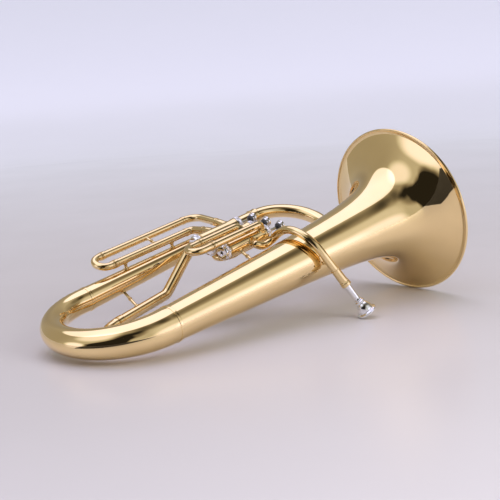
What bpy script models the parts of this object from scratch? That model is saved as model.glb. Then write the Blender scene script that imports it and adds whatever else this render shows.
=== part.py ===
"""Baritone horn: three piston valves, bell, bows, slides and mouthpiece.

Design frame: X runs along the bell axis towards the rim, Y from the bell tube
towards the return branch, Z is the normal of the bottom bow.  An empty turns the
whole horn into the position in which it lies on a table.  Units are metres.
"""
import math

import bmesh
import bpy
from mathutils import Matrix, Vector

MM = 0.001
GAP = 0.35 * MM            # clearance kept between neighbouring solids

# ---- driving dimensions -------------------------------------------------------
BELL_LENGTH = 468.5 * MM   # bow ferrule plane to rim plane
RIM_RADIUS = 130.0 * MM
BELL_CONE_RADIUS = 24.5 * MM
BELL_CONE_SLOPE = 0.043
FLARE_HEIGHT = 85.4 * MM
FLARE_LENGTH = 64.0 * MM
FLARE_POWER = 2.5
BELL_WALL = 1.1 * MM
RIM_BEAD = 2.0 * MM

BOW_RADIUS = 95.0 * MM     # centre line of the bottom bow
BOW_LEG = 9.6 * MM         # straight run at each end of the bottom bow
BOW_TUBE_BELL = 25.6 * MM  # tube radius at the bell end
BOW_TUBE_RETURN = 17.6 * MM
BOW_WAIST = 2.0 * MM       # how much the bent middle is drawn in
BOW_WALL = 1.1 * MM
BOW_STEPS = 16             # straight pieces round the bend
FERRULE_LENGTH = 5.0 * MM

TOP_BOW_TUBE = 10.6 * MM
TOP_BOW_LEAD = 3.0 * MM    # straight run at each end of the top bow
TOP_BOW_OUTER_END = Vector((333.0, 188.0, 10.0)) * MM
TOP_BOW_INNER_END = Vector((333.0, 55.0, -30.0)) * MM
TUBE_WALL = 0.9 * MM

VALVE_1 = Vector((0.0, 65.0, 32.0)) * MM     # where the first valve axis crosses X = 0
VALVE_PITCH = Vector((0.0, 30.0, 2.0)) * MM
CASING_RADIUS = 11.2 * MM
CASING_WALL = 1.5 * MM
CASING_BOTTOM = 159.4 * MM
CASING_TOP = 246.0 * MM
CAP_RADIUS = 12.3 * MM
CAP_HEIGHT = 9.0 * MM
CAP_FLOOR = 2.2 * MM
PISTON_RADIUS = 9.1 * MM
PISTON_BOTTOM = 184.0 * MM
PISTON_TOP = 243.0 * MM
STEM_RADIUS = 2.2 * MM
STEM_TOP = 271.4 * MM
BUTTON_RADIUS = 8.4 * MM
BUTTON_HEIGHT = 6.0 * MM
PORT_RADIUS = 5.2 * MM
PORT_LOW = 207.0 * MM
PORT_HIGH = 226.0 * MM
LINK_X = 192.0 * MM
EXIT_PORT = 173.0 * MM     # where the air leaves the third valve
EXIT_REACH = 25.5 * MM

SLIDE_TUBE = 5.8 * MM      # outer radius of the outer valve slide tubes
SLIDE_TUBE_WALL = 0.6 * MM
SLIDE_INNER = 4.7 * MM     # outer radius of the tubes that slide inside them
SLIDE_CROOK = 5.6 * MM

MAIN_TUBE = 7.9 * MM
MAIN_INNER = 6.4 * MM
MAIN_CROOK = 7.4 * MM
MAIN_LEG_TOP = Vector((108.0, 148.0, -27.5)) * MM    # valve-side leg, upper end
MAIN_LEG_END = Vector((10.0, 140.8, -31.6)) * MM     # valve-side leg, mouth
MAIN_SPACING = 54.0 * MM
CROOK_LEAD = 9.0 * MM      # straight run of the crook beyond the mouths
KEY_PIVOT = 5.0 * MM       # water key hinge, from the mouth along the crook
KEY_PAD = 16.0 * MM        # water key nipple, from the mouth along the crook
KEY_HEIGHT = 6.2 * MM      # hinge above the skin of the crook
KEY_CHEEK = 4.7            # saddle cheeks above the hinge, in mm

LEADPIPE_RADIUS = 6.0 * MM
WRAP_RADIUS = 48.0 * MM    # the leadpipe runs round the bell tube at this radius
RECEIVER_RADIUS = 7.5 * MM
MOUTHPIECE_RIM = 14.9 * MM

# ---- resting position on the table ----------------------------------------------
# It rests on the bell rim, the mouthpiece rim and the water key saddle.
REST_UP = Vector((0.184758, 0.052483, 0.981382))          # design direction that points up
REST_SHIFT = Vector((-180.776, -45.148, 41.312)) * MM

X_AXIS = Vector((1.0, 0.0, 0.0))
Z_AXIS = Vector((0.0, 0.0, 1.0))

for old in list(bpy.data.objects):
    bpy.data.objects.remove(old, do_unlink=True)

scene = bpy.context.scene
horn_parts = bpy.data.collections.new("baritone_horn")
cutters = bpy.data.collections.new("cutters")
scene.collection.children.link(horn_parts)
scene.collection.children.link(cutters)

horn = bpy.data.objects.new("horn_rest_pose", None)
horn_parts.objects.link(horn)

# ---- materials -------------------------------------------------------------------
def metal(name, colour, roughness, metallic=1.0):
    mat = bpy.data.materials.new(name)
    mat.use_nodes = True
    shader = mat.node_tree.nodes["Principled BSDF"]
    shader.inputs["Base Color"].default_value = (*colour, 1.0)
    shader.inputs["Metallic"].default_value = metallic
    shader.inputs["Roughness"].default_value = roughness
    return mat

BRASS = metal("lacquered_brass", (0.86, 0.62, 0.25), 0.16)
INNER_BRASS = metal("bare_brass", (0.72, 0.52, 0.24), 0.3)
SILVER = metal("silver_plate", (0.82, 0.82, 0.83), 0.14)
NICKEL = metal("nickel", (0.62, 0.61, 0.6), 0.22)
STEEL = metal("spring_steel", (0.45, 0.45, 0.46), 0.35)
CORK = metal("cork", (0.55, 0.38, 0.22), 0.9, 0.0)

# ---- helpers -----------------------------------------------------------------------
def finish(obj, mat):
    """Parents an object to the horn and gives it its material."""
    obj.parent = horn
    obj.data.materials.clear()
    obj.data.materials.append(mat.copy())
    obj.data.materials[0].name = obj.name
    horn_parts.objects.link(obj)
    return obj

def lerp(start, end, share):
    return start + (end - start) * share

def rounded_path(corners, bends, step_angle=18.0):
    """A run of straights through the corners, each corner rounded to its bend radius."""
    points = [corners[0].copy()]
    if isinstance(bends, float):
        bends = [bends] * (len(corners) - 2)
    for before, corner, after, bend in zip(corners[:-2], corners[1:-1], corners[2:], bends):
        back = (before - corner).normalized()
        ahead = (after - corner).normalized()
        opening = back.angle(ahead)
        turn = math.pi - opening
        centre = corner + (back + ahead).normalized() * (bend / math.sin(opening / 2))
        reach = bend / math.tan(opening / 2)
        first = corner + back * reach - centre
        last = corner + ahead * reach - centre
        count = max(2, round(math.degrees(turn) / step_angle))
        for index in range(count + 1):
            share = index / count
            spoke = first * math.sin((1 - share) * turn) + last * math.sin(share * turn)
            points.append(centre + spoke / math.sin(turn))
    points.append(corners[-1].copy())
    return points

def half_circle(start, end, outward, count):
    """Points of a half circle from start to end that bulges towards outward."""
    centre = (start + end) / 2
    radius = (end - start).length / 2
    across = (start - end).normalized()
    out = (outward - across * outward.dot(across)).normalized()
    points = []
    for index in range(count + 1):
        angle = math.pi * index / count
        points.append(centre + radius * (math.cos(angle) * across + math.sin(angle) * out))
    return points

def smooth_path(knots, per_span):
    """A Catmull-Rom curve through the knots."""
    line = [2 * knots[0] - knots[1], *knots, 2 * knots[-1] - knots[-2]]
    points = []
    for index in range(1, len(line) - 2):
        before, start, end, after = line[index - 1:index + 3]
        for step in range(per_span):
            t = step / per_span
            points.append(0.5 * ((2 * start) + (end - before) * t
                                 + (2 * before - 5 * start + 4 * end - after) * t ** 2
                                 + (3 * start - before - 3 * end + after) * t ** 3))
    points.append(knots[-1].copy())
    return points

def curve_object(name, points, radii, sides, caps):
    """A round bar or tube skin along the points; its origin is the first point."""
    curve = bpy.data.curves.new(name, "CURVE")
    curve.dimensions = "3D"
    curve.bevel_depth = 1.0
    curve.bevel_resolution = sides // 2 - 2
    curve.use_fill_caps = caps
    spline = curve.splines.new("POLY")
    spline.points.add(len(points) - 1)
    origin = points[0]
    for spot, position, radius in zip(spline.points, points, radii):
        spot.co = (*(position - origin), 1.0)
        spot.radius = radius
    obj = bpy.data.objects.new(name, curve)
    obj.location = origin
    return obj

def tube(name, points, radii, wall, mat, sides=10):
    """An open tube: a curve skin given its wall inwards."""
    if isinstance(radii, float):
        radii = [radii] * len(points)
    obj = curve_object(name, points, radii, sides, False)
    solid = obj.modifiers.new("wall", "SOLIDIFY")
    solid.thickness = wall
    solid.offset = -1.0
    solid.use_even_offset = False
    return finish(obj, mat)

def bar(name, points, radius, mat, sides=8):
    return finish(curve_object(name, points, [radius] * len(points), sides, True), mat)

def turned_object(name, profile, steps, closed):
    """A turned shape about local Z; the profile lists (radius, height), outer side first."""
    mesh = bpy.data.meshes.new(name)
    count = len(profile)
    edges = [(index, index + 1) for index in range(count - 1)]
    if closed:
        edges.append((count - 1, 0))
    mesh.from_pydata([(radius, 0.0, height) for radius, height in profile], edges, [])
    obj = bpy.data.objects.new(name, mesh)
    screw = obj.modifiers.new("turn", "SCREW")
    screw.steps = steps
    screw.render_steps = steps
    screw.use_merge_vertices = True
    screw.merge_threshold = 0.00001
    screw.use_smooth_shade = True
    return obj

def along(direction, position):
    """Matrix that puts local Z along a direction at a position."""
    turn = Z_AXIS.rotation_difference(direction).to_matrix().to_4x4()
    return Matrix.Translation(position) @ turn

def turned(name, profile, mat, position, direction=X_AXIS, steps=20, closed=True):
    obj = finish(turned_object(name, profile, steps, closed), mat)
    obj.matrix_local = along(direction, position)
    return obj

def ring(name, inner, outer, start, end, mat, position, direction=X_AXIS, steps=20):
    """A plain sleeve between two heights."""
    profile = [(outer, end), (outer, start), (inner, start), (inner, end)]
    return turned(name, profile, mat, position, direction, steps)

def strut(name, start, end, radius, foot, mat=BRASS, steps=12):
    """A soldered brace: a slim bar with a flat round foot at each end."""
    length = (end - start).length - 2 * GAP
    plate = 1.2 * MM
    profile = [(0.0, length), (foot, length), (foot, length - plate), (radius, length - 2 * plate),
               (radius, 2 * plate), (foot, plate), (foot, 0.0), (0.0, 0.0)]
    way = (end - start).normalized()
    return turned(name, profile, mat, start + way * GAP, way, steps, closed=False)

def drill(obj, position, direction, radius, length):
    """Cuts a round hole through an object; the cutter stays in its own collection."""
    mesh = bpy.data.meshes.new("cutter_" + obj.name)
    shape = bmesh.new()
    bmesh.ops.create_cone(shape, cap_ends=True, segments=12, radius1=radius,
                          radius2=radius, depth=length)
    shape.to_mesh(mesh)
    shape.free()
    cutter = bpy.data.objects.new(mesh.name, mesh)
    cutter.parent = horn
    cutter.matrix_local = along(direction, position)
    cutter.hide_render = True
    cutter.display_type = "WIRE"
    cutters.objects.link(cutter)
    cut = obj.modifiers.new("drill", "BOOLEAN")
    cut.operation = "DIFFERENCE"
    cut.solver = "EXACT"
    cut.object = cutter

def bell_radius(x):
    """Outer radius of the bell tube and flare at a distance from the bow ferrule."""
    reach = FLARE_LENGTH / (BELL_LENGTH - x + FLARE_LENGTH)
    return BELL_CONE_RADIUS + BELL_CONE_SLOPE * x + FLARE_HEIGHT * reach ** FLARE_POWER

# ---- bell and bows --------------------------------------------------------------------
def build_bell():
    shares = (0.0, 0.2, 0.4, 0.56, 0.68, 0.77, 0.84, 0.89, 0.93, 0.96, 0.98, 0.992)
    outer = [(bell_radius(s * BELL_LENGTH), s * BELL_LENGTH) for s in shares]
    inner = []
    for s in shares:
        slope = (bell_radius((s + 0.002) * BELL_LENGTH) - bell_radius(s * BELL_LENGTH))
        angle = math.atan(slope / (0.002 * BELL_LENGTH))
        radius = bell_radius(s * BELL_LENGTH) - BELL_WALL * math.cos(angle)
        inner.append((radius, s * BELL_LENGTH + BELL_WALL * math.sin(angle)))
    inner[0] = (inner[0][0], 0.0)
    bead = []
    for index in range(6):
        angle = math.radians(-150 + index * 60)
        bead.append((RIM_RADIUS - RIM_BEAD + RIM_BEAD * math.cos(angle),
                     BELL_LENGTH - RIM_BEAD + RIM_BEAD * math.sin(angle)))
    profile = list(reversed(outer)) + inner + list(reversed(bead))
    turned("bell", profile, BRASS, Vector(), X_AXIS, 40)

def build_bottom_bow():
    centre = Vector((-BOW_LEG, BOW_RADIUS, 0.0))
    points = [Vector((-GAP, 0.0, 0.0))]
    points += half_circle(Vector((-BOW_LEG, 0.0, 0.0)), centre + Vector((0.0, BOW_RADIUS, 0.0)),
                          -X_AXIS, BOW_STEPS)
    points.append(Vector((-GAP, 2 * BOW_RADIUS, 0.0)))
    radii = []
    for index in range(len(points)):
        share = max(0.0, min(1.0, (index - 1) / BOW_STEPS))
        waist = BOW_WAIST * math.sin(math.pi * share)
        radii.append(lerp(BOW_TUBE_BELL, BOW_TUBE_RETURN, share) - waist)
    tube("bottom_bow", points, radii, BOW_WALL, BRASS, 16)
    sleeve = 1.3 * MM
    half = FERRULE_LENGTH / 2
    ring("bell_ferrule", BOW_TUBE_BELL + GAP, BOW_TUBE_BELL + sleeve, -half, half, BRASS,
         Vector(), steps=32)
    ring("return_ferrule", BOW_TUBE_RETURN + GAP, BOW_TUBE_RETURN + sleeve, -half, half, BRASS,
         Vector((0.0, 2 * BOW_RADIUS, 0.0)), steps=24)

def build_return_and_top_bow():
    start = Vector((GAP, 2 * BOW_RADIUS, 0.0))
    end = TOP_BOW_OUTER_END - X_AXIS * 2 * GAP
    points = [lerp(start, end, share) for share in (0.0, 0.35, 0.7, 1.0)]
    radii = [lerp(BOW_TUBE_RETURN, TOP_BOW_TUBE, share) for share in (0.0, 0.35, 0.7, 1.0)]
    tube("return_branch", points, radii, TUBE_WALL, BRASS, 14)
    lead = X_AXIS * TOP_BOW_LEAD
    bow = half_circle(TOP_BOW_OUTER_END + lead, TOP_BOW_INNER_END + lead, X_AXIS, 12)
    bow = [TOP_BOW_OUTER_END, *bow, TOP_BOW_INNER_END]
    tube("top_bow", bow, TOP_BOW_TUBE, TUBE_WALL, BRASS, 12)
    for name, centre in (("top_bow_ferrule_outer", TOP_BOW_OUTER_END),
                         ("top_bow_ferrule_inner", TOP_BOW_INNER_END)):
        ring(name, TOP_BOW_TUBE + 2 * GAP, TOP_BOW_TUBE + 1.5 * MM, -9 * MM, 4 * MM, BRASS,
             centre, steps=18)

# ---- main tuning slide --------------------------------------------------------------------
MAIN_WAY = (MAIN_LEG_END - MAIN_LEG_TOP).normalized()         # the way the slide pulls out
MAIN_ACROSS = Vector((0.0, -1.0, -0.02))
MAIN_ACROSS = (MAIN_ACROSS - MAIN_WAY * MAIN_ACROSS.dot(MAIN_WAY)).normalized()

def build_main_slide():
    valve_3 = VALVE_1 + 2 * VALVE_PITCH
    leaving = math.radians(-20)
    side = Vector((0.0, math.cos(leaving), math.sin(leaving)))
    port = valve_3 + X_AXIS * EXIT_PORT
    corners = [port + side * (CASING_RADIUS + GAP), port + side * EXIT_REACH, MAIN_LEG_TOP,
               MAIN_LEG_END]
    points = rounded_path(corners, 11 * MM, 20)
    radii = [lerp(6.6 * MM, MAIN_TUBE, min(1.0, index / 6)) for index in range(len(points))]
    tube("valve_exit_tube", points, radii, TUBE_WALL, BRASS, 12)

    inner_end = MAIN_LEG_END + MAIN_ACROSS * MAIN_SPACING
    inner_top = MAIN_LEG_TOP + MAIN_ACROSS * MAIN_SPACING
    join = TOP_BOW_INNER_END - X_AXIS * GAP
    corners = [inner_end, inner_top, Vector((300.0, 55.0, -30.0)) * MM, join]
    points = rounded_path(corners, 60 * MM, 9)
    count = len(points) - 1
    radii = [lerp(MAIN_TUBE, TOP_BOW_TUBE, max(0.0, index / count - 0.3) / 0.7)
             for index in range(count + 1)]
    tube("main_slide_return_leg", points, radii, TUBE_WALL, BRASS, 12)

    crook_start = MAIN_LEG_END + MAIN_WAY * CROOK_LEAD
    crook_end = inner_end + MAIN_WAY * CROOK_LEAD
    step = MAIN_WAY * 0.4 * MM
    depth = MAIN_WAY * -64 * MM
    mouth_a = MAIN_LEG_END + MAIN_WAY * 0.5 * MM
    mouth_b = inner_end + MAIN_WAY * 0.5 * MM
    bend = half_circle(crook_start, crook_end, MAIN_WAY, 14)
    points = [mouth_a + depth, mouth_a, mouth_a + step, *bend, mouth_b + step, mouth_b,
              mouth_b + depth]
    radii = [MAIN_INNER, MAIN_INNER, *[MAIN_CROOK] * (len(bend) + 2), MAIN_INNER, MAIN_INNER]
    tube("main_tuning_slide", points, radii, TUBE_WALL * 0.8, BRASS, 12)

def outline(name, loops, half_width, mat):
    """A flat plate: 2D outlines, the first outside and the others holes."""
    curve = bpy.data.curves.new(name, "CURVE")
    curve.dimensions = "2D"
    curve.fill_mode = "BOTH"
    curve.extrude = half_width
    for loop in loops:
        spline = curve.splines.new("POLY")
        spline.points.add(len(loop) - 1)
        for spot, (x, y) in zip(spline.points, loop):
            spot.co = (x * MM, y * MM, 0.0, 1.0)
        spline.use_cyclic_u = True
    return finish(bpy.data.objects.new(name, curve), mat)

def as_mesh(curve_piece, name, mat):
    """The same piece as a welded mesh, which a Boolean can cut."""
    graph = bpy.context.evaluated_depsgraph_get()
    mesh = bpy.data.meshes.new_from_object(curve_piece.evaluated_get(graph))
    solid = bmesh.new()
    solid.from_mesh(mesh)
    bmesh.ops.remove_doubles(solid, verts=solid.verts, dist=0.00001)
    solid.to_mesh(mesh)
    solid.free()
    place = curve_piece.matrix_local.copy()
    bpy.data.objects.remove(curve_piece, do_unlink=True)
    piece = finish(bpy.data.objects.new(name, mesh), mat)
    piece.matrix_local = place
    return piece

def circle(radius, count):
    """Points of a circle, for an outline's hole."""
    angles = [2 * math.pi * index / count for index in range(count)]
    return [(radius * math.cos(angle), radius * math.sin(angle)) for angle in angles]

def build_water_key():
    """Nipple, pad, lever, saddle, pin and spring on the under side of the main slide crook."""
    out = MAIN_ACROSS.cross(MAIN_WAY).normalized()
    bend_radius = MAIN_SPACING / 2
    turned_by = math.asin((KEY_PAD - CROOK_LEAD) / bend_radius)
    aside = bend_radius * (1 - math.cos(turned_by))
    nipple = MAIN_LEG_END + MAIN_WAY * KEY_PAD + MAIN_ACROSS * aside + out * MAIN_CROOK
    pivot = MAIN_LEG_END + MAIN_WAY * KEY_PIVOT + out * (MAIN_CROOK + KEY_HEIGHT)
    lever_way = pivot - nipple
    lever_way = (lever_way - out * lever_way.dot(out)).normalized()
    hinge = lever_way.cross(out)
    frame = Matrix.Translation(pivot) @ Matrix((lever_way, out, hinge)).transposed().to_4x4()
    ring("water_key_nipple", 1.4 * MM, 3.2 * MM, 2 * GAP, 2.7 * MM, BRASS, nipple, out, 12)
    cork = [(0.0, 5.4 * MM), (2.9 * MM, 5.4 * MM), (2.9 * MM, 3.05 * MM), (0.0, 3.05 * MM)]
    turned("water_key_cork", cork, CORK, nipple, out, 12, closed=False)
    arm = [(-14.8, -0.45), (-6.0, -0.45), (-2.1, -1.8), (2.1, -1.8), (8.0, 0.2), (19.0, 0.9),
           (19.0, 2.4), (7.0, 2.2), (1.6, 2.2), (-2.1, 1.9), (-6.0, 1.2), (-14.8, 0.9)]
    outline("water_key_lever", [arm, circle(1.1, 8)], 2.4 * MM, BRASS).matrix_local = frame
    cheek, inside, base = 4.6, 3.1, -5.8
    shape = [(-cheek, KEY_CHEEK), (-cheek, base), (cheek, base), (cheek, KEY_CHEEK),
             (inside, KEY_CHEEK), (inside, base + 1.4), (-inside, base + 1.4), (-inside, KEY_CHEEK)]
    plate = outline("saddle_outline", [shape], 1.9 * MM, BRASS)
    plate.matrix_local = frame @ Matrix.Rotation(math.pi / 2, 4, "Y")
    saddle = as_mesh(plate, "water_key_saddle", BRASS)
    drill(saddle, pivot, hinge, 1.05 * MM, 30 * MM)
    reach = hinge * 5.4 * MM
    bar("water_key_pin", [pivot - reach, pivot + reach], 0.65 * MM, STEEL)
    knots = [pivot + lever_way * x * MM + out * y * MM
             for x, y in ((-2.4, -3.7), (1.0, -3.6), (4.5, -3.1), (9.5, -2.7))]
    bar("water_key_spring", smooth_path(knots, 2), 0.35 * MM, STEEL, 6)

# ---- valves ------------------------------------------------------------------------------------
def build_valve(number):
    axis = VALVE_1 + (number - 1) * VALVE_PITCH
    bore = CASING_RADIUS - CASING_WALL
    ring(f"valve_casing_{number}", bore, CASING_RADIUS, CASING_BOTTOM, CASING_TOP, BRASS, axis)
    lip = CASING_RADIUS + GAP
    base = CASING_BOTTOM - GAP - CAP_FLOOR
    hole = 2.6 * MM
    turned(f"bottom_cap_{number}", [
        (lip, base + CAP_HEIGHT), (CAP_RADIUS, base + CAP_HEIGHT), (CAP_RADIUS, base + 1.0 * MM),
        (CAP_RADIUS - 1.2 * MM, base), (hole, base), (hole, base + CAP_FLOOR),
        (lip, base + CAP_FLOOR)], SILVER, axis, steps=18)
    crown = CASING_TOP + GAP + CAP_FLOOR
    hole = STEM_RADIUS + 2 * GAP
    turned(f"top_cap_{number}", [
        (hole, crown), (CAP_RADIUS - 1.5 * MM, crown), (CAP_RADIUS, crown - 1.2 * MM),
        (CAP_RADIUS, crown - CAP_HEIGHT), (lip, crown - CAP_HEIGHT), (lip, crown - CAP_FLOOR),
        (hole, crown - CAP_FLOOR)], SILVER, axis, steps=18)
    piston = turned(f"piston_{number}", [
        (0.0, PISTON_TOP - 8 * MM), (6.0 * MM, PISTON_TOP - 8 * MM), (6.0 * MM, PISTON_TOP),
        (PISTON_RADIUS, PISTON_TOP), (PISTON_RADIUS, PISTON_BOTTOM), (7.4 * MM, PISTON_BOTTOM),
        (7.4 * MM, PISTON_BOTTOM + 5 * MM), (0.0, PISTON_BOTTOM + 5 * MM)],
        NICKEL, axis, steps=18, closed=False)
    for height, angle in ((LINK_X, 0.0), (PORT_LOW, 75.0), (PORT_HIGH - 3 * MM, 15.0)):
        way = Vector((0.0, math.cos(math.radians(angle)), math.sin(math.radians(angle))))
        drill(piston, axis + X_AXIS * height, way, PORT_RADIUS, 60 * MM)
    stem_start = PISTON_TOP - 8 * MM + GAP
    turned(f"valve_stem_{number}", [
        (0.0, STEM_TOP), (STEM_RADIUS, STEM_TOP), (STEM_RADIUS, stem_start + 5 * MM),
        (4.6 * MM, stem_start + 4 * MM), (4.6 * MM, stem_start), (0.0, stem_start)],
        NICKEL, axis, steps=12, closed=False)
    seat = STEM_TOP + GAP
    rim = BUTTON_RADIUS - 0.6 * MM
    crown = seat + BUTTON_HEIGHT
    turned(f"finger_button_{number}", [
        (0.0, crown - 1.0 * MM), (rim - 1.0 * MM, crown - 0.6 * MM), (rim, crown),
        (BUTTON_RADIUS, crown - 0.8 * MM), (BUTTON_RADIUS, seat + 2.6 * MM),
        (BUTTON_RADIUS - 2.0 * MM, seat + 0.8 * MM), (3.4 * MM, seat), (0.0, seat)],
        SILVER, axis, steps=16, closed=False)
    turns = 4
    per_turn = 6
    low = CASING_BOTTOM + 1.6 * MM
    high = PISTON_BOTTOM - 1.0 * MM
    coil = []
    for index in range(turns * per_turn + 1):
        angle = 2 * math.pi * index / per_turn
        height = lerp(low, high, index / (turns * per_turn))
        coil.append(axis + Vector((height, 6.2 * MM * math.cos(angle), 6.2 * MM * math.sin(angle))))
    bar(f"valve_spring_{number}", coil, 0.55 * MM, STEEL, 6)

def build_valve_links():
    for number in (1, 2):
        axis = VALVE_1 + (number - 1) * VALVE_PITCH
        way = VALVE_PITCH.normalized()
        start = axis + X_AXIS * LINK_X + way * (CASING_RADIUS + GAP)
        end = start + way * (VALVE_PITCH.length - 2 * CASING_RADIUS - 2 * GAP)
        tube(f"valve_link_{number}_{number + 1}", [start, end], 6.6 * MM, TUBE_WALL, BRASS, 12)

def valve_slide(number, upper, lower, bend_x, engaged, first_bend=8.2 * MM):
    """Two outer tubes with their elbows, and the crook that slides in them.

    upper and lower list the corners of each outer tube from its mouth; the last corner
    lies straight out from the valve casing, and the tube ends there square to it.
    """
    mouth_x = upper[0].x
    for label, corners in (("upper", upper), ("lower", lower)):
        bends = [8.2 * MM] * (len(corners) - 1)
        if label == "upper":
            bends[0] = first_bend
        points = rounded_path([*corners, port_below(number, corners[-1])], bends, 22)
        tube(f"valve_{number}_{label}_tube", points, SLIDE_TUBE, SLIDE_TUBE_WALL, BRASS)
    ends = []
    for corners in (upper, lower):
        mouth = corners[0].copy()
        mouth.x = mouth_x
        ends.append(mouth)
    inside = X_AXIS * (engaged)
    crook = [Vector((bend_x, end.y, end.z)) for end in ends]
    bend = half_circle(crook[0], crook[1], -X_AXIS, 10)
    lead = X_AXIS * (-0.5 * MM)
    step = X_AXIS * (-0.4 * MM)
    points = [ends[0] + inside, ends[0] + lead, ends[0] + lead + step, *bend,
              ends[1] + lead + step, ends[1] + lead, ends[1] + inside]
    radii = [SLIDE_INNER, SLIDE_INNER, *[SLIDE_CROOK] * (len(bend) + 2), SLIDE_INNER, SLIDE_INNER]
    tube(f"valve_{number}_slide", points, radii, SLIDE_TUBE_WALL, BRASS)

def port_below(number, corner):
    """The point just outside a casing that lies straight below a corner."""
    axis = VALVE_1 + (number - 1) * VALVE_PITCH
    foot = Vector((corner.x, axis.y, axis.z))
    return foot + (corner - foot).normalized() * (CASING_RADIUS + GAP)

def point(x, y, z):
    return Vector((x, y, z)) * MM

def build_valve_slides():
    valve_slide(1, [point(136, 86, 51), point(212, 86, 51)],
                [point(136, 58, 51.4), point(233, 58, 51.4)], 122 * MM, 44 * MM)
    valve_slide(2, [point(190, 107, 15.5), point(214, 107, 15.5)],
                [point(190, 83, 15.5), point(233, 83, 15.5)], 184 * MM, 16 * MM)
    valve_slide(3, [point(56, 219, 39.6), point(238, 219, 39.6), point(232, 150, 39.6)],
                [point(56, 190, 32), point(207, 190, 32), point(207, 152, 36)],
                52 * MM, 110 * MM, 20 * MM)

# ---- leadpipe and mouthpiece ------------------------------------------------------------------
def wrap_point(angle):
    """Centre of the leadpipe where it runs round the bell tube."""
    turn = math.radians(angle)
    climb = max(0.0, (angle - 90) / 71)
    x = 237 * MM + 10 * MM * climb ** 2
    return Vector((x, WRAP_RADIUS * math.cos(turn), WRAP_RADIUS * math.sin(turn)))

def build_leadpipe():
    outlet = point(208, 47.5, 29.8)
    start = lerp(port_below(1, outlet), outlet, 0.15)
    knots = [start, outlet, point(215, 44.2, 25.4), point(224, 43.2, 25),
             point(232.5, 38.5, 30)]
    knots += [wrap_point(angle) for angle in (56, 78, 100, 122, 142, 161)]
    way = (point(285, -80, -84) - knots[-1]).normalized()
    pipe_end = knots[-1] + way * 42 * MM
    knots += [knots[-1] + way * 14 * MM, pipe_end]
    points = smooth_path(knots, 2)
    radii = [lerp(LEADPIPE_RADIUS, LEADPIPE_RADIUS - 0.3 * MM, i / len(points))
             for i in range(len(points))]
    tube("leadpipe", points, radii, 0.7 * MM, BRASS)
    origin = wrap_point(161)
    bore = LEADPIPE_RADIUS + GAP
    turned("mouthpiece_receiver", [
        (bore, 60 * MM), (RECEIVER_RADIUS + 0.8 * MM, 60 * MM), (RECEIVER_RADIUS + 0.8 * MM, 56 * MM),
        (RECEIVER_RADIUS, 54.5 * MM), (RECEIVER_RADIUS, 36 * MM), (bore + 0.6 * MM, 30 * MM),
        (bore, 30 * MM)], BRASS, origin, way, 16)
    build_mouthpiece(origin + way * 111.6 * MM, -way)
    foot = origin + way * 22 * MM
    out = Vector((0.0, foot.y, foot.z))
    skin = out.normalized()
    strut("leadpipe_brace", Vector((foot.x, 0, 0)) + skin * (bell_radius(foot.x) + 0.9 * MM),
          foot - skin * (LEADPIPE_RADIUS + 1.6 * MM), 1.6 * MM, 3.2 * MM)

def build_mouthpiece(rim_centre, way):
    """Turned about the line from the rim centre towards the shank."""
    outside = [(4.9, 67.0), (5.35, 52.0), (5.0, 44.0), (4.7, 33.0), (5.4, 28.0), (6.9, 24.0),
               (6.9, 20.0), (7.2, 17.5), (9.0, 13.0), (10.6, 8.0), (11.6, 4.5), (14.4, 3.0),
               (14.9, 1.6), (14.2, 0.3), (13.0, 0.0)]
    inside = [(11.9, 0.7), (11.2, 3.0), (9.6, 9.0), (6.6, 15.5), (3.2, 20.0), (2.9, 24.0),
              (3.6, 50.0), (4.1, 67.0)]
    profile = [(radius * MM, height * MM) for radius, height in outside + inside]
    turned("mouthpiece", profile, SILVER, rim_centre, way, 16)

# ---- braces --------------------------------------------------------------------------------------
def build_braces():
    spot = 184 * MM
    valve = VALVE_1 + X_AXIS * spot
    out = Vector((0.0, VALVE_1.y, VALVE_1.z)).normalized()
    strut("valve_to_bell_brace", Vector((spot, 0, 0)) + out * (bell_radius(spot) + 0.6 * MM),
          valve - out * CASING_RADIUS, 2.2 * MM, 5.0 * MM)
    for name, x in (("third_slide_brace_lower", 76), ("third_slide_brace_upper", 165)):
        share = x * MM / TOP_BOW_OUTER_END.x
        top = lerp(0.0, TOP_BOW_OUTER_END.z, share) + lerp(BOW_TUBE_RETURN, TOP_BOW_TUBE, share)
        strut(name, Vector((x * MM, 189.6 * MM, top + 0.1 * MM)),
              point(x, 190, 32) - Z_AXIS * SLIDE_TUBE, 2.4 * MM, 4.2 * MM)
    low = point(140, 190, 32)
    high = point(140, 219, 39.7)
    across = (high - low).normalized()
    strut("third_slide_tie", low + across * SLIDE_TUBE, high - across * SLIDE_TUBE, 1.8 * MM, 3.4 * MM)
    leg = lerp(MAIN_LEG_TOP, MAIN_LEG_END, 0.55)
    share = leg.x / TOP_BOW_OUTER_END.x
    branch = Vector((leg.x, lerp(190 * MM, 188 * MM, share), lerp(0.0, 10 * MM, share)))
    across = (branch - leg)
    across.x = 0.0
    across.normalize()
    branch_radius = lerp(BOW_TUBE_RETURN, TOP_BOW_TUBE, share)
    strut("main_slide_brace", leg + across * MAIN_TUBE, branch - across * branch_radius,
          2.2 * MM, 4.4 * MM)
    leg = point(262, 61.5, -30.5)
    out = Vector((0.0, leg.y, leg.z)).normalized()
    strut("return_leg_brace", Vector((leg.x, 0, 0)) + out * (bell_radius(leg.x) + 0.9 * MM),
          leg - out * 10.6 * MM, 2.4 * MM, 4.6 * MM)

build_bell()
build_bottom_bow()
build_return_and_top_bow()
build_main_slide()
build_water_key()
for valve_number in (1, 2, 3):
    build_valve(valve_number)
build_valve_links()
build_valve_slides()
build_leadpipe()
build_braces()

# ---- lay the horn on the table --------------------------------------------------------------------
turn_to_rest = REST_UP.rotation_difference(Z_AXIS).to_matrix().to_4x4()
horn.matrix_world = Matrix.Translation(REST_SHIFT) @ turn_to_rest
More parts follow.
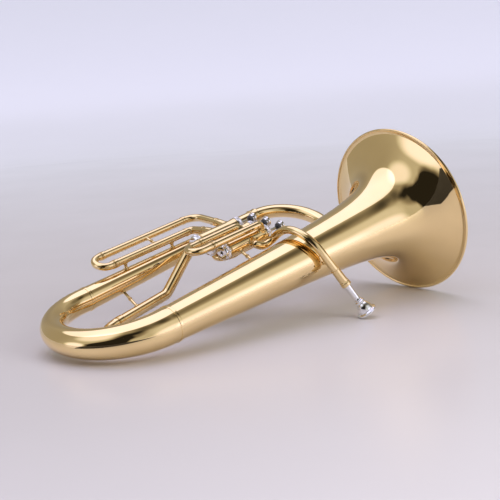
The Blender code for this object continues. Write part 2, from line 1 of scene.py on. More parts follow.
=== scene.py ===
"""Looks of the baritone horn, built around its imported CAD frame.

Shapes are drawn in the horn's own design frame, in millimetres: X along the bell axis
towards the rim, Y from the bell tube towards the return branch, Z the normal of the
bottom bow.  piece() turns them into metres in the row frame, where the horn lies down.
Numbers inside profiles, which are lists of (radius, height), and inside knots are the shape
itself.
"""

import math

import bmesh
import bpy
import numpy as np
from mathutils import Matrix, Vector


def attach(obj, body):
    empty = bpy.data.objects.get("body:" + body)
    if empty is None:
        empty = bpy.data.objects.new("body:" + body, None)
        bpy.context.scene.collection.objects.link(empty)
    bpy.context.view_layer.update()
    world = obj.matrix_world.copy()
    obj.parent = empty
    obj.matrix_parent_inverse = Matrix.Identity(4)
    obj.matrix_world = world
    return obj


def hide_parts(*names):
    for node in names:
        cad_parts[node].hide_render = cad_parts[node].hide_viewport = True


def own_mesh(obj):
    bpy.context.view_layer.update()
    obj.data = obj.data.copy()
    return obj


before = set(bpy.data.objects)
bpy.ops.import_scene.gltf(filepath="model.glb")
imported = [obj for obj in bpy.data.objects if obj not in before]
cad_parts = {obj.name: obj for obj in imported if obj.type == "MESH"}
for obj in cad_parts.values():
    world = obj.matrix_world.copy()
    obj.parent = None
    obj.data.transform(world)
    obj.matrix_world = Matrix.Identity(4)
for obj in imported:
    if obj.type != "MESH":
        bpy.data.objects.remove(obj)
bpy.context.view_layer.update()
scene = bpy.context.scene

MM = 0.001
REST_UP = Vector((0.184758, 0.052483, 0.981382))
REST_SHIFT = Vector((-180.776, -45.148, 41.312)) * MM
REST_TURN = REST_UP.rotation_difference(Vector((0.0, 0.0, 1.0))).to_matrix()
TURN = np.array(REST_TURN)


def vec(x, y, z):
    return np.array([x, y, z], float)


X, Y, Z = np.eye(3)

# Driving dimensions of the horn, in mm.
GAP = 0.35
BELL_LENGTH = 468.5
THROAT_RADIUS = 24.5
THROAT_TAPER = 0.043
FLARE_GROWTH = 85.4
FLARE_REACH = 64.0
FLARE_POWER = 2.5
RIM_RADIUS = 129.7
RIM_BEAD = 2.0
BELL_WALL = 0.9
BELL_SEAM = 249.0
SEAM_WIDTH = 0.7
SEAM_DEPTH = 0.3
BOW_RADIUS = 95.0
BOW_LEG = 9.6
BOW_TUBE_BELL = 25.6
BOW_TUBE_RETURN = 17.6
BOW_WAIST = 2.35
TUBE_WALL = 0.9
TOP_BOW_TUBE = 10.6
TOP_BOW_LEAD = 3.0
TOP_BOW_OUTER_END = vec(333, 188, 10)
TOP_BOW_INNER_END = vec(333, 55, -30)

VALVE_1 = vec(0, 65, 32)
VALVE_PITCH = vec(0, 30, 2)
CASING_RADIUS = 11.2
CASING_BORE = 9.7
CASING_BOTTOM = 159.4
CASING_TOP = 246.0
CASING_NECK = 236.6
CAP_RADIUS = 12.3
CAP_HEIGHT = 9.0
CAP_FLOOR = 2.2
STEM_RADIUS = 2.2
STEM_FOOT = 235.35
STEM_TOP = 271.4
BUTTON_RADIUS = 8.4
BUTTON_SEAT = 271.75
BUTTON_HEIGHT = 6.0
LINK_X = 192.0
LEADPIPE_X = 208.0
EXIT_PORT = 173.0
PORT_RADIUS = 6.6
EXIT_REACH = 25.5
EXIT_ANGLE = math.radians(-20)

SLIDE_TUBE = 5.8
SLIDE_INNER = 4.7
SLIDE_CROOK = 5.6
SLIDE_WALL = 0.6
SLIDE_BEND = 8.2
SLIDES = {
    1: {"upper": [(136, 86, 51), (212, 86, 51)], "lower": [(136, 58, 51.4), (233, 58, 51.4)],
        "bend_x": 122.0, "engaged": 44.0},
    2: {"upper": [(190, 107, 15.5), (214, 107, 15.5)],
        "lower": [(190, 83, 15.5), (233, 83, 15.5)],
        "bend_x": 184.0, "engaged": 16.0},
    3: {"upper": [(56, 219, 39.6), (238, 219, 39.6), (232, 150, 39.6)],
        "lower": [(56, 190, 32), (207, 190, 32), (207, 152, 36)],
        "bend_x": 52.0, "engaged": 110.0, "first_bend": 20.0},
}

MAIN_TUBE = 7.9
MAIN_SLEEVE = 10.0
MAIN_INNER = 6.4
MAIN_CROOK = 7.4
MAIN_LEG_TOP = vec(108, 148, -27.5)
MAIN_LEG_END = vec(10, 140.8, -31.6)
MAIN_SPACING = 54.0
MAIN_DEPTH = 63.5
CROOK_LEAD = 9.0
KEY_PIVOT = 5.0
KEY_PAD = 16.0
KEY_HEIGHT = 6.2

LEADPIPE_RADIUS = 6.0
LEADPIPE_TAPER = 0.3
WRAP_RADIUS = 48.0
WRAP_X = 237.0
WRAP_CLIMB = 10.0
WRAP_SIDE = 90
WRAP_END = 161
RECEIVER_RADIUS = 7.5
MOUTHPIECE_REACH = 111.6


# Vectors and paths.
def unit(vector):
    return np.asarray(vector, float) / np.linalg.norm(vector)


def lerp(start, end, share):
    return start + (end - start) * share


def square_to(vector, way):
    """The part of a vector at right angles to a way, as a unit vector."""
    return unit(vector - way * np.dot(vector, way))


def straight(start, end, step=6.0):
    """Points along a straight run, without the last one."""
    count = max(1, int(np.linalg.norm(end - start) / step))
    return [lerp(start, end, index / count) for index in range(count)]


def rounded_path(corners, bends, step_angle=4.0):
    """Straights through the corners, each corner rounded to its bend radius."""
    corners = [np.array(corner, float) for corner in corners]
    points = []
    here = corners[0]
    for before, corner, after, bend in zip(corners[:-2], corners[1:-1], corners[2:], bends):
        back, ahead = unit(before - corner), unit(after - corner)
        opening = math.acos(np.dot(back, ahead))
        turn = math.pi - opening
        centre = corner + unit(back + ahead) * (bend / math.sin(opening / 2))
        reach = bend / math.tan(opening / 2)
        first = corner + back * reach - centre
        last = corner + ahead * reach - centre
        points += straight(here, centre + first)
        count = max(2, round(math.degrees(turn) / step_angle))
        for index in range(count):
            share = index / count
            spoke = first * math.sin((1 - share) * turn) + last * math.sin(share * turn)
            points.append(centre + spoke / math.sin(turn))
        here = centre + last
    points += straight(here, corners[-1])
    points.append(corners[-1])
    return points


def half_circle(start, end, outward, count=60):
    """Points of a half circle from start to end that bulges towards outward."""
    centre = (start + end) / 2
    radius = np.linalg.norm(end - start) / 2
    across = unit(start - end)
    out = square_to(outward, across)
    angles = [math.pi * index / count for index in range(count + 1)]
    return [centre + radius * (math.cos(a) * across + math.sin(a) * out) for a in angles]


def smooth_path(knots, per_span=10):
    """A Catmull-Rom curve through the knots."""
    line = [2 * knots[0] - knots[1], *knots, 2 * knots[-1] - knots[-2]]
    points = []
    for index in range(1, len(line) - 2):
        before, start, end, after = line[index - 1:index + 3]
        for step in range(per_span):
            t = step / per_span
            points.append(0.5 * (2 * start + (end - before) * t
                                 + (2 * before - 5 * start + 4 * end - after) * t ** 2
                                 + (3 * start - before - 3 * end + after) * t ** 3))
    points.append(knots[-1])
    return points


def shares_along(points):
    """How far along the path each point lies, from 0 to 1."""
    steps = np.linalg.norm(np.diff(np.array(points), axis=0), axis=1)
    run = np.concatenate([[0.0], np.cumsum(steps)])
    return run / run[-1]


def arc(radius, height, size, start, end, count=8):
    """Profile points of an arc about (radius, height), with angles in degrees."""
    turns = [math.radians(lerp(start, end, index / count)) for index in range(count + 1)]
    return [(radius + size * math.cos(t), height + size * math.sin(t)) for t in turns]


# Shells: (points, faces) in the design frame.
def ring_faces(starts, sides, closed):
    """Faces between neighbouring rings; a ring of one point is a pole."""
    faces = []
    pairs = list(zip(starts[:-1], starts[1:]))
    if closed:
        pairs.append((starts[-1], starts[0]))
    for (low, low_count), (high, high_count) in pairs:
        for side in range(sides):
            after = (side + 1) % sides
            if low_count == 1:
                faces.append((low, high + after, high + side))
            elif high_count == 1:
                faces.append((low + side, low + after, high))
            else:
                faces.append((low + side, low + after, high + after, high + side))
    return faces


def place(origin, direction, side=None):
    """Origin and axes whose third axis is the direction."""
    way = unit(direction)
    if side is None:
        side = Z if abs(way[2]) < 0.9 else Y
    first = square_to(np.array(side, float), way)
    return np.array(origin, float), np.array([first, np.cross(way, first), way])


def lathe(profile, where, steps=64, closed=None, flutes=0, flute_depth=0.0, fit=None):
    """A profile of (radius, height) turned about the third axis of a place.

    A profile that starts and ends on the axis isn't closed into a ring.  flutes cuts that
    many grooves where the radius is largest; fit=(radius, reach) lets the low end follow a
    tube of that radius that runs along the first axis.
    """
    origin, axes = where
    if closed is None:
        closed = profile[0][0] > 0 or profile[-1][0] > 0
    turns = np.arange(steps) * 2 * math.pi / steps
    widest = max(radius for radius, height in profile)
    points, starts = [], []
    for radius, height in profile:
        start = len(points)
        if radius < 1e-6:
            points.append((0.0, 0.0, height))
            starts.append((start, 1))
            continue
        rim = np.full(steps, radius)
        if flutes and radius > widest - 0.05:
            rim -= flute_depth * (0.5 + 0.5 * np.cos(flutes * turns)) ** 2
        points += list(zip(rim * np.cos(turns), rim * np.sin(turns), np.full(steps, height)))
        starts.append((start, steps))
    local = np.array(points, float)
    if fit:
        tube_radius, reach = fit
        sagitta = tube_radius - np.sqrt(np.maximum(tube_radius ** 2 - local[:, 1] ** 2, 0.0))
        local[:, 2] -= sagitta * np.clip(1 - local[:, 2] / reach, 0.0, 1.0)
    return local @ axes + origin, ring_faces(starts, steps, closed)


# Rounded ends: a tube's in shares of its wall, a bar's in shares of its radius.
TUBE_LIP = ((0.15, 0.2), (0.5, 0.3), (0.85, 0.2))
BAR_END = ((0.92, 0.15), (0.7, 0.3), (0.35, 0.396))
BAR_POLE = 0.42


def sweep(points, radii, wall=0.0, sides=40, squash=1.0, up=None):
    """A round bar, or a tube with a wall, along the points."""
    line = np.array(points, float)
    radii = np.broadcast_to(np.asarray(radii, float), len(line)).copy()
    ways = np.gradient(line, axis=0)
    ways[0] = line[1] - line[0]
    ways[-1] = line[-1] - line[-2]
    ways /= np.linalg.norm(ways, axis=1)[:, None]
    side = place(line[0], ways[0], up)[1][0]
    turns = np.arange(sides) * 2 * math.pi / sides
    frames = []
    for way in ways:
        side = square_to(side, way)
        frames.append((side, np.cross(way, side)))

    def ring(index, radius, shift=0.0):
        first, second = frames[index]
        spokes = np.outer(np.cos(turns), first) + squash * np.outer(np.sin(turns), second)
        return line[index] + ways[index] * shift + radius * spokes

    last = len(line) - 1
    rings = [ring(index, radii[index]) for index in range(last + 1)]
    if wall:
        rings += [ring(last, radii[last] - wall * inward, wall * out) for inward, out in TUBE_LIP]
        rings += [ring(index, radii[index] - wall) for index in range(last, -1, -1)]
        rings += [ring(0, radii[0] - wall * inward, -wall * out)
                  for inward, out in TUBE_LIP[::-1]]
        starts = [(index * sides, sides) for index in range(len(rings))]
        return np.vstack(rings), ring_faces(starts, sides, True)
    low = [ring(0, radii[0] * size, -radii[0] * out) for size, out in BAR_END[::-1]]
    high = [ring(last, radii[last] * size, radii[last] * out) for size, out in BAR_END]
    rings = low + rings + high
    starts = [(1 + index * sides, sides) for index in range(len(rings))]
    first_pole = line[0] - ways[0] * radii[0] * BAR_POLE
    last_pole = line[-1] + ways[-1] * radii[-1] * BAR_POLE
    cloud = np.vstack([first_pole[None], *rings, last_pole[None]])
    starts = [(0, 1), *starts, (len(cloud) - 1, 1)]
    return cloud, ring_faces(starts, sides, False)


def slab(loop, half_width, where, bevel=0.3):
    """A flat outline in the first two axes of a place, thick along the third."""
    origin, axes = where
    outline = np.array(loop, float)
    centre = outline.mean(axis=0)
    shrink = 1 - bevel / np.linalg.norm(outline - centre, axis=1).mean()
    inner = centre + (outline - centre) * shrink
    count = len(outline)
    layers = ((inner, -half_width), (outline, -half_width + bevel),
              (outline, half_width - bevel), (inner, half_width))
    points = np.vstack([np.c_[shape, np.full(count, height)] for shape, height in layers])
    faces = ring_faces([(layer * count, count) for layer in range(len(layers))], count, False)
    faces.append(tuple(range(count - 1, -1, -1)))
    faces.append(tuple(range(3 * count, 4 * count)))
    return points @ axes + origin, faces


def new_mesh(name, points, faces, material):
    mesh = bpy.data.meshes.new(name)
    mesh.from_pydata(points, [], faces)
    mesh.materials.append(material)
    return mesh


def add_object(name, data):
    obj = bpy.data.objects.new(name, data)
    scene.collection.objects.link(obj)
    return obj


def piece(name, shells, material, stands_for=(), body="horn", sharp=34.0):
    """Joins shells into one smooth-shaded object that rides on a body."""
    points, faces, base = [], [], 0
    for cloud, shell_faces in shells:
        points.append(cloud)
        faces += [tuple(index + base for index in face) for face in shell_faces]
        base += len(cloud)
    world = np.vstack(points) * MM @ TURN.T + np.array(REST_SHIFT)
    mesh = new_mesh(name, world.tolist(), faces, material)
    solid = bmesh.new()
    solid.from_mesh(mesh)
    bmesh.ops.recalc_face_normals(solid, faces=solid.faces)
    solid.to_mesh(mesh)
    solid.free()
    mesh.shade_smooth()
    mesh.set_sharp_from_angle(angle=math.radians(sharp))
    obj = add_object(name, mesh)
    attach(obj, body)
    if stands_for:
        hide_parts(*stands_for)
    return obj


# Materials.
def add_node(tree, kind, links, **values):
    """A shader node with sockets linked and others set; _ stands for a space in a name."""
    node = tree.nodes.new(kind)
    for socket, value in values.items():
        node.inputs[socket.replace("_", " ")].default_value = value
    for socket, source in links.items():
        tree.links.new(source, node.inputs[socket])
    return node


def add_up(tree, first, second):
    node = add_node(tree, "ShaderNodeMath", {0: first, 1: second})
    node.operation = "ADD"
    return node.outputs["Value"]


def map_range(tree, source, low, high, new_low, new_high):
    return add_node(tree, "ShaderNodeMapRange", {"Value": source}, From_Min=low, From_Max=high,
                    To_Min=new_low, To_Max=new_high)


def colour_ramp(tree, source, stops):
    """A colour ramp through (position, colour) stops, driven by a socket."""
    node = add_node(tree, "ShaderNodeValToRGB", {"Fac": source})
    ends = node.color_ramp.elements
    for end, (position, colour) in zip((ends[0], ends[1]), (stops[0], stops[-1])):
        end.position = position
        end.color = (*colour, 1.0)
    for position, colour in stops[1:-1]:
        ends.new(position).color = (*colour, 1.0)
    return node.outputs["Color"]


class Recipe:
    """A Principled material with its nodes laid out by short calls."""

    def __init__(self, name, metallic, roughness, **constants):
        self.material = bpy.data.materials.new(name)
        self.material.use_nodes = True
        self.tree = self.material.node_tree
        self.shader = self.tree.nodes["Principled BSDF"]
        constants.update(Metallic=metallic, Roughness=roughness)
        for socket, value in constants.items():
            self.shader.inputs[socket.replace("_", " ")].default_value = value
        self.place = self.tree.nodes.new("ShaderNodeTexCoord").outputs["Object"]

    def feed(self, socket, output):
        self.tree.links.new(output, self.shader.inputs[socket])

    def noise(self, scale, detail=3.0, rough=0.55, stretch=None):
        source = self.place
        if stretch:
            mapping = add_node(self.tree, "ShaderNodeMapping", {"Vector": source}, Scale=stretch)
            source = mapping.outputs["Vector"]
        return add_node(self.tree, "ShaderNodeTexNoise", {"Vector": source}, Scale=scale,
                        Detail=detail, Roughness=rough).outputs["Fac"]

    def cells(self, scale):
        return add_node(self.tree, "ShaderNodeTexVoronoi", {"Vector": self.place},
                        Scale=scale).outputs["Distance"]

    def span(self, source, low, high, new_low, new_high):
        return map_range(self.tree, source, low, high, new_low, new_high).outputs["Result"]

    def colour(self, source, stops):
        self.feed("Base Color", colour_ramp(self.tree, source, stops))

    def roughness(self, source, low, high, new_low, new_high):
        self.feed("Roughness", self.span(source, low, high, new_low, new_high))

    def bump(self, height, distance):
        self.feed("Normal", add_node(self.tree, "ShaderNodeBump", {"Height": height},
                                     Distance=distance).outputs["Normal"])


def shade(colour, share):
    return tuple(channel * share for channel in colour)


def polished_metal(name, colour, rough, tint, haze=0.05, coat=0.0):
    """Mirror-polished metal: slow colour drift, polishing haze, faint smudges and ripple."""
    recipe = Recipe(name, 1.0, rough, Coat_Weight=coat, Coat_Roughness=0.02, Coat_IOR=1.5)
    drift = recipe.noise(22.0, 2.0)
    recipe.colour(drift, [(0.3, shade(colour, 1 - tint)), (0.7, colour)])
    smudge = recipe.span(recipe.noise(38.0, 5.0, 0.6), 0.52, 0.72, 0.0, haze)
    streaks = recipe.span(recipe.noise(240.0, 3.0, 0.6, (1.0, 6.0, 6.0)), 0.35, 0.75,
                          rough * 0.75, rough * 1.35)
    recipe.feed("Roughness", add_up(recipe.tree, smudge, streaks))
    recipe.bump(recipe.noise(26.0, 2.0), 0.00012)
    return recipe.material


def drawn_metal(name, colour, rough):
    """Machined or drawn metal with fine lines."""
    recipe = Recipe(name, 1.0, rough)
    lines = recipe.noise(420.0, 4.0, 0.7, (0.15, 3.0, 3.0))
    recipe.colour(lines, [(0.3, shade(colour, 0.8)), (0.7, colour)])
    recipe.roughness(lines, 0.3, 0.7, rough * 0.7, rough * 1.3)
    recipe.bump(lines, 0.00002)
    return recipe.material


def cork():
    recipe = Recipe("cork", 0.0, 0.85)
    grain = recipe.noise(900.0, 4.0, 0.7)
    recipe.colour(grain, [(0.3, (0.16, 0.08, 0.035)), (0.48, (0.42, 0.26, 0.13)),
                          (0.7, (0.62, 0.43, 0.24))])
    recipe.roughness(grain, 0.3, 0.7, 0.95, 0.75)
    recipe.bump(recipe.cells(1200.0), 0.0002)
    return recipe.material


def felt(name, colour):
    recipe = Recipe(name, 0.0, 0.95, Sheen_Weight=0.5, Sheen_Roughness=0.6)
    fibre = recipe.noise(2600.0, 4.0, 0.75)
    recipe.colour(fibre, [(0.3, shade(colour, 0.55)), (0.7, colour)])
    recipe.roughness(fibre, 0.3, 0.7, 1.0, 0.85)
    recipe.bump(fibre, 0.0003)
    return recipe.material


def pearl():
    recipe = Recipe("mother_of_pearl", 0.0, 0.18, Coat_Weight=0.8, Coat_Roughness=0.04)
    bands = recipe.noise(160.0, 5.0, 0.6, (1.0, 2.4, 1.3))
    recipe.colour(bands, [(0.3, (0.62, 0.66, 0.66)), (0.45, (0.86, 0.84, 0.8)),
                          (0.55, (0.8, 0.76, 0.8)), (0.7, (0.74, 0.84, 0.8))])
    recipe.roughness(bands, 0.3, 0.7, 0.12, 0.26)
    recipe.bump(bands, 0.00004)
    return recipe.material


GOLD = (0.94, 0.71, 0.355)
BRASS = polished_metal("lacquered_brass", GOLD, 0.03, 0.05, 0.04, coat=0.35)
TUBE_BRASS = polished_metal("lacquered_brass_tube", shade(GOLD, 0.95), 0.05, 0.1, 0.06, coat=0.3)
CAST_BRASS = polished_metal("lacquered_brass_fittings", shade(GOLD, 0.92), 0.08, 0.12, 0.07,
                            coat=0.25)
INNER_SLIDE = drawn_metal("nickel_silver_slide", (0.72, 0.7, 0.64), 0.16)
SILVER = polished_metal("silver_plate", (0.9, 0.9, 0.91), 0.05, 0.06, 0.05)
NICKEL = polished_metal("nickel_plate", (0.66, 0.65, 0.63), 0.12, 0.1, 0.08)
STEEL = drawn_metal("spring_steel", (0.5, 0.5, 0.51), 0.28)
CORK = cork()
FELT = felt("black_felt", (0.05, 0.05, 0.055))
WHITE_FELT = felt("white_felt", (0.75, 0.73, 0.68))
PEARL = pearl()


# Bell and bows.
def bell_radius(x):
    """Outer radius of the bell tube and flare at a distance from the bow ferrule."""
    reach = FLARE_REACH / (BELL_LENGTH - x + FLARE_REACH)
    return THROAT_RADIUS + THROAT_TAPER * x + FLARE_GROWTH * reach ** FLARE_POWER


def bell_slope(x):
    return bell_radius(x + 0.5) - bell_radius(x - 0.5)


def build_bell():
    """Spun bell with a wire-stiffened bead at the rim."""
    stations = (BELL_LENGTH - 2.6) * (1 - (1 - np.linspace(0, 1, 150)) ** 1.7)
    seam = [BELL_SEAM - SEAM_WIDTH / 2, BELL_SEAM, BELL_SEAM + SEAM_WIDTH / 2]
    clear = [x for x in stations if abs(x - BELL_SEAM) > 0.8]
    outer = [(bell_radius(x) - (SEAM_DEPTH if x == BELL_SEAM else 0.0), x)
             for x in sorted(clear + seam)]
    inner = []
    for x in stations:
        lean = math.atan(bell_slope(x))
        inner.append((bell_radius(x) - BELL_WALL * math.cos(lean),
                      x + BELL_WALL * math.sin(lean)))
    bead = arc(RIM_RADIUS - RIM_BEAD, BELL_LENGTH - RIM_BEAD, RIM_BEAD, -150, 120, 20)
    profile = [*outer, *bead, *inner[::-1]]
    piece("bell_spun", [lathe(profile, place((0, 0, 0), X), 220)], BRASS, ["bell"])


def band(radius, start, end, inner, centre, way=X, steps=72, edge=0.45):
    """A sleeve with rounded edges between two distances along its way."""
    profile = [(inner, start), (radius - edge, start),
               *arc(radius - edge, start + edge, edge, -90, 0, 5),
               *arc(radius - edge, end - edge, edge, 0, 90, 5), (inner, end)]
    return lathe(profile, place(centre, way), steps)


def build_bottom_bow():
    start, end = vec(-BOW_LEG, 0, 0), vec(-BOW_LEG, 2 * BOW_RADIUS, 0)
    bend = half_circle(start, end, -X, 150)
    points = [vec(-0.1, 0, 0), vec(-5, 0, 0), *bend, vec(-5, 2 * BOW_RADIUS, 0),
              vec(-0.1, 2 * BOW_RADIUS, 0)]
    shares = [0.0, 0.0, *np.linspace(0, 1, len(bend)), 1.0, 1.0]
    radii = [lerp(BOW_TUBE_BELL, BOW_TUBE_RETURN, s) - BOW_WAIST * math.sin(math.pi * s)
             for s in shares]
    piece("bottom_bow_tube", [sweep(points, radii, TUBE_WALL, 96, up=Z)], BRASS, ["bottom_bow"])
    for name, radius, y in (("bell_ferrule", BOW_TUBE_BELL, 0.0),
                            ("return_ferrule", BOW_TUBE_RETURN, 2 * BOW_RADIUS)):
        shell = band(radius + 0.6, -2.4, 2.4, radius - 0.3, vec(0, y, 0), steps=110, edge=0.3)
        piece(name + "_band", [shell], BRASS, [name])


def build_return_and_top_bow():
    points = np.linspace(vec(0.1, 2 * BOW_RADIUS, 0), TOP_BOW_OUTER_END, 40)
    radii = np.linspace(BOW_TUBE_RETURN, TOP_BOW_TUBE, 40)
    piece("return_branch_tube", [sweep(points, radii, TUBE_WALL, 72, up=Z)], BRASS,
          ["return_branch"])
    lead = X * TOP_BOW_LEAD
    bend = half_circle(TOP_BOW_OUTER_END + lead, TOP_BOW_INNER_END + lead, X, 96)
    points = [TOP_BOW_OUTER_END, *bend, TOP_BOW_INNER_END]
    piece("top_bow_tube", [sweep(points, TOP_BOW_TUBE, TUBE_WALL, 64, up=Z)], BRASS, ["top_bow"])
    for name, centre in (("top_bow_ferrule_outer", TOP_BOW_OUTER_END),
                         ("top_bow_ferrule_inner", TOP_BOW_INNER_END)):
        skin = TOP_BOW_TUBE
        profile = [(skin - 0.3, -8.9), *arc(skin + 0.5, -8.0, 0.9, -90, 60, 6),
                   (skin + 0.9, -6.4), (skin + 0.9, 1.6), *arc(skin + 0.6, 2.9, 0.9, -60, 90, 6),
                   (skin - 0.3, 3.9)]
        piece(name + "_sleeve", [lathe(profile, place(centre, X), 72)], CAST_BRASS, [name])


# Main tuning slide.
MAIN_WAY = unit(MAIN_LEG_END - MAIN_LEG_TOP)
MAIN_ACROSS = square_to(vec(0.0, -1.0, -0.02), MAIN_WAY)
MAIN_OUT = np.cross(MAIN_ACROSS, MAIN_WAY)
INNER_LEG_END = MAIN_LEG_END + MAIN_ACROSS * MAIN_SPACING


def mouth_sleeve(mouth, way, radius, length, lift=0.7):
    """The thick collar at the open end of an outer slide tube; way points out of it."""
    profile = [(radius - 0.25, -length), (radius, -length),
               *arc(radius, -length + lift, lift, -90, 0, 5),
               (radius + lift, -2.4), (radius + lift - 0.35, -2.0), (radius + lift - 0.35, -1.5),
               *arc(radius + lift - 0.3, -0.5, 0.4, -60, 90, 5), (radius - 0.25, -0.1)]
    return lathe(profile, place(mouth, way), 60)


def build_main_tubes():
    port = VALVE_1 + 2 * VALVE_PITCH + X * EXIT_PORT
    side = vec(0.0, math.cos(EXIT_ANGLE), math.sin(EXIT_ANGLE))
    corners = [port + side * (CASING_RADIUS - 0.9), port + side * EXIT_REACH, MAIN_LEG_TOP,
               MAIN_LEG_END]
    points = rounded_path(corners, [11.0, 17.0])
    shares = shares_along(points)
    radii = [lerp(PORT_RADIUS, MAIN_TUBE, min(1.0, share / 0.16)) for share in shares]
    shells = [sweep(points, radii, TUBE_WALL, 56), port_collar(3, EXIT_PORT, side, PORT_RADIUS),
              mouth_sleeve(MAIN_LEG_END, MAIN_WAY, MAIN_TUBE, MAIN_SLEEVE)]
    piece("valve_exit_pipe", shells, TUBE_BRASS, ["valve_exit_tube"])

    corners = [INNER_LEG_END, MAIN_LEG_TOP + MAIN_ACROSS * MAIN_SPACING, vec(300, 55, -30),
               TOP_BOW_INNER_END]
    points = rounded_path(corners, [60.0, 60.0], 2.0)
    shares = shares_along(points)
    radii = [lerp(MAIN_TUBE, TOP_BOW_TUBE, np.clip((share - 0.3) / 0.62, 0, 1))
             for share in shares]
    shells = [sweep(points, radii, TUBE_WALL, 56),
              mouth_sleeve(INNER_LEG_END, MAIN_WAY, MAIN_TUBE, MAIN_SLEEVE)]
    piece("return_leg_pipe", shells, TUBE_BRASS, ["main_slide_return_leg"])


def crook_sleeve(mouth, way, radius, length):
    """The collar where a crook is soldered over its inner slide tube."""
    profile = [(radius - 1.2, 0.6), (radius + 0.3, 0.6), *arc(radius + 0.35, 1.0, 0.4, -90, 0, 4),
               (radius + 0.75, length * 0.55), (radius + 0.45, length * 0.62),
               (radius + 0.45, length - 1.0), *arc(radius - 0.1, length - 0.5, 0.5, 0, 90, 4),
               (radius - 1.2, length)]
    return lathe(profile, place(mouth, way), 60)


def build_main_slide():
    mouths = [MAIN_LEG_END, INNER_LEG_END]
    bend = half_circle(mouths[0] + MAIN_WAY * CROOK_LEAD, mouths[1] + MAIN_WAY * CROOK_LEAD,
                       MAIN_WAY, 80)
    points = [mouths[0] + MAIN_WAY * 1.0, *bend, mouths[1] + MAIN_WAY * 1.0]
    shells = [sweep(points, MAIN_CROOK, 0.8, 56)]
    shells += [crook_sleeve(mouth, MAIN_WAY, MAIN_CROOK, 8.0) for mouth in mouths]
    piece("main_slide_crook", shells, TUBE_BRASS, ["main_tuning_slide"], "main_slide_body")
    legs = [sweep([mouth - MAIN_WAY * MAIN_DEPTH, mouth - MAIN_WAY * 30, mouth + MAIN_WAY * 4],
                  MAIN_INNER, 0.7, 48) for mouth in mouths]
    piece("main_slide_inner_tubes", legs, INNER_SLIDE, body="main_slide_body")


def build_water_key():
    bend_radius = MAIN_SPACING / 2
    turned_by = math.asin((KEY_PAD - CROOK_LEAD) / bend_radius)
    aside = bend_radius * (1 - math.cos(turned_by))
    out = MAIN_OUT
    nipple = MAIN_LEG_END + MAIN_WAY * KEY_PAD + MAIN_ACROSS * aside + out * MAIN_CROOK
    pivot = MAIN_LEG_END + MAIN_WAY * KEY_PIVOT + out * (MAIN_CROOK + KEY_HEIGHT)
    lever_way = square_to(pivot - nipple, out)
    hinge = np.cross(lever_way, out)
    body = "main_slide_body"

    spout = [(1.4, -0.6), (4.6, -0.6), (4.4, 0.0), (3.6, 0.5), (3.1, 1.1),
             *arc(2.7, 2.2, 0.4, 0, 90, 4), *arc(1.9, 2.2, 0.4, 90, 180, 4), (1.4, 1.6)]
    shell = lathe(spout, place(nipple, out, MAIN_WAY), 40, fit=(MAIN_CROOK, 2.2))
    piece("water_key_spout", [shell], CAST_BRASS, ["water_key_nipple"], body)

    pad = [(0, 5.3), *arc(2.5, 4.9, 0.4, 90, 0, 4), *arc(2.5, 3.4, 0.35, 0, -90, 4), (0, 3.05)]
    piece("water_key_pad", [lathe(pad, place(nipple, out), 36)], CORK,
          ["water_key_cork"], "water_key_body")

    upright = np.array([lever_way, out, hinge])
    flat = np.array([lever_way, hinge, -out])

    def at(along, above, aside=0.0):
        return pivot + vec(along, above, aside) @ upright

    cup = [(0, 6.0), *arc(2.6, 5.6, 0.4, 90, 0, 4), *arc(3.0, 4.7, 0.2, 0, -90, 3),
           (2.75, 4.5), (2.75, 5.25), (0, 5.25)]
    arm_line = smooth_path([at(-9, 0.05), at(-5, 0.4), at(0, 0.2), at(5, 0.9), at(9, 1.35),
                            at(13, 1.5)])
    arm_sizes = [lerp(1.5, 1.9, abs(2 * s - 1) ** 2) for s in shares_along(arm_line)]
    spoon = [(13.0 + 6.0 * math.cos(t), 2.4 * math.sin(t))
             for t in np.linspace(0, 2 * math.pi, 33)[:-1]]
    barrel = [(1.0, -2.4), *arc(1.7, -2.1, 0.3, -90, 0, 3), *arc(1.7, 2.1, 0.3, 0, 90, 3),
              (1.0, 2.4)]
    shells = [sweep(arm_line, arm_sizes, sides=24, squash=0.45, up=hinge),
              lathe(cup, place(nipple, out), 40), slab(spoon, 0.75, (at(0, 1.55), flat)),
              lathe(barrel, place(pivot, hinge), 32)]
    piece("water_key_arm", shells, CAST_BRASS, ["water_key_lever"], "water_key_body")

    cheek = [(-1.9, -5.9), (1.9, -5.9), (1.9, 2.2),
             *[(1.9 * math.cos(t), 2.8 + 1.9 * math.sin(t))
               for t in np.linspace(0.1, math.pi - 0.1, 9)], (-1.9, 2.2)]
    shells = [slab(cheek, 0.7, (at(0, 0, offset), upright), 0.2) for offset in (-3.85, 3.85)]
    foot = [(-2.4, -4.6), (2.4, -4.6), (2.4, 4.6), (-2.4, 4.6)]
    shells.append(slab(foot, 0.8, (at(0, -5.2), flat), 0.25))
    piece("water_key_cheeks", shells, CAST_BRASS, ["water_key_saddle"], body)

    heads = [[(0, 5.3), (0.9, 5.3), (1.2, 5.0), (1.2, 4.6), (0, 4.6)],
             [(0, -4.6), (1.2, -4.6), (1.2, -5.0), (0.9, -5.3), (0, -5.3)]]
    shells = [sweep([at(0, 0, offset) for offset in (-4.7, 0, 4.7)], 0.65, sides=20)]
    shells += [lathe(head, place(pivot, hinge), 24) for head in heads]
    piece("water_key_screw", shells, STEEL, ["water_key_pin"], body)

    turns = [2 * math.pi * step / 6 for step in range(1, 16)]
    coil = [at(1.45 * math.sin(turn), -1.45 * math.cos(turn), lerp(-2.75, -2.35, index / 14))
            for index, turn in enumerate(turns)]
    line = smooth_path([at(-1.2, -2.8, -2.75), *coil, at(4, -2.9, -1.6), at(9.2, -2.6)], 4)
    piece("water_key_wire", [sweep(line, 0.28, sides=12)], STEEL, ["water_key_spring"], body)


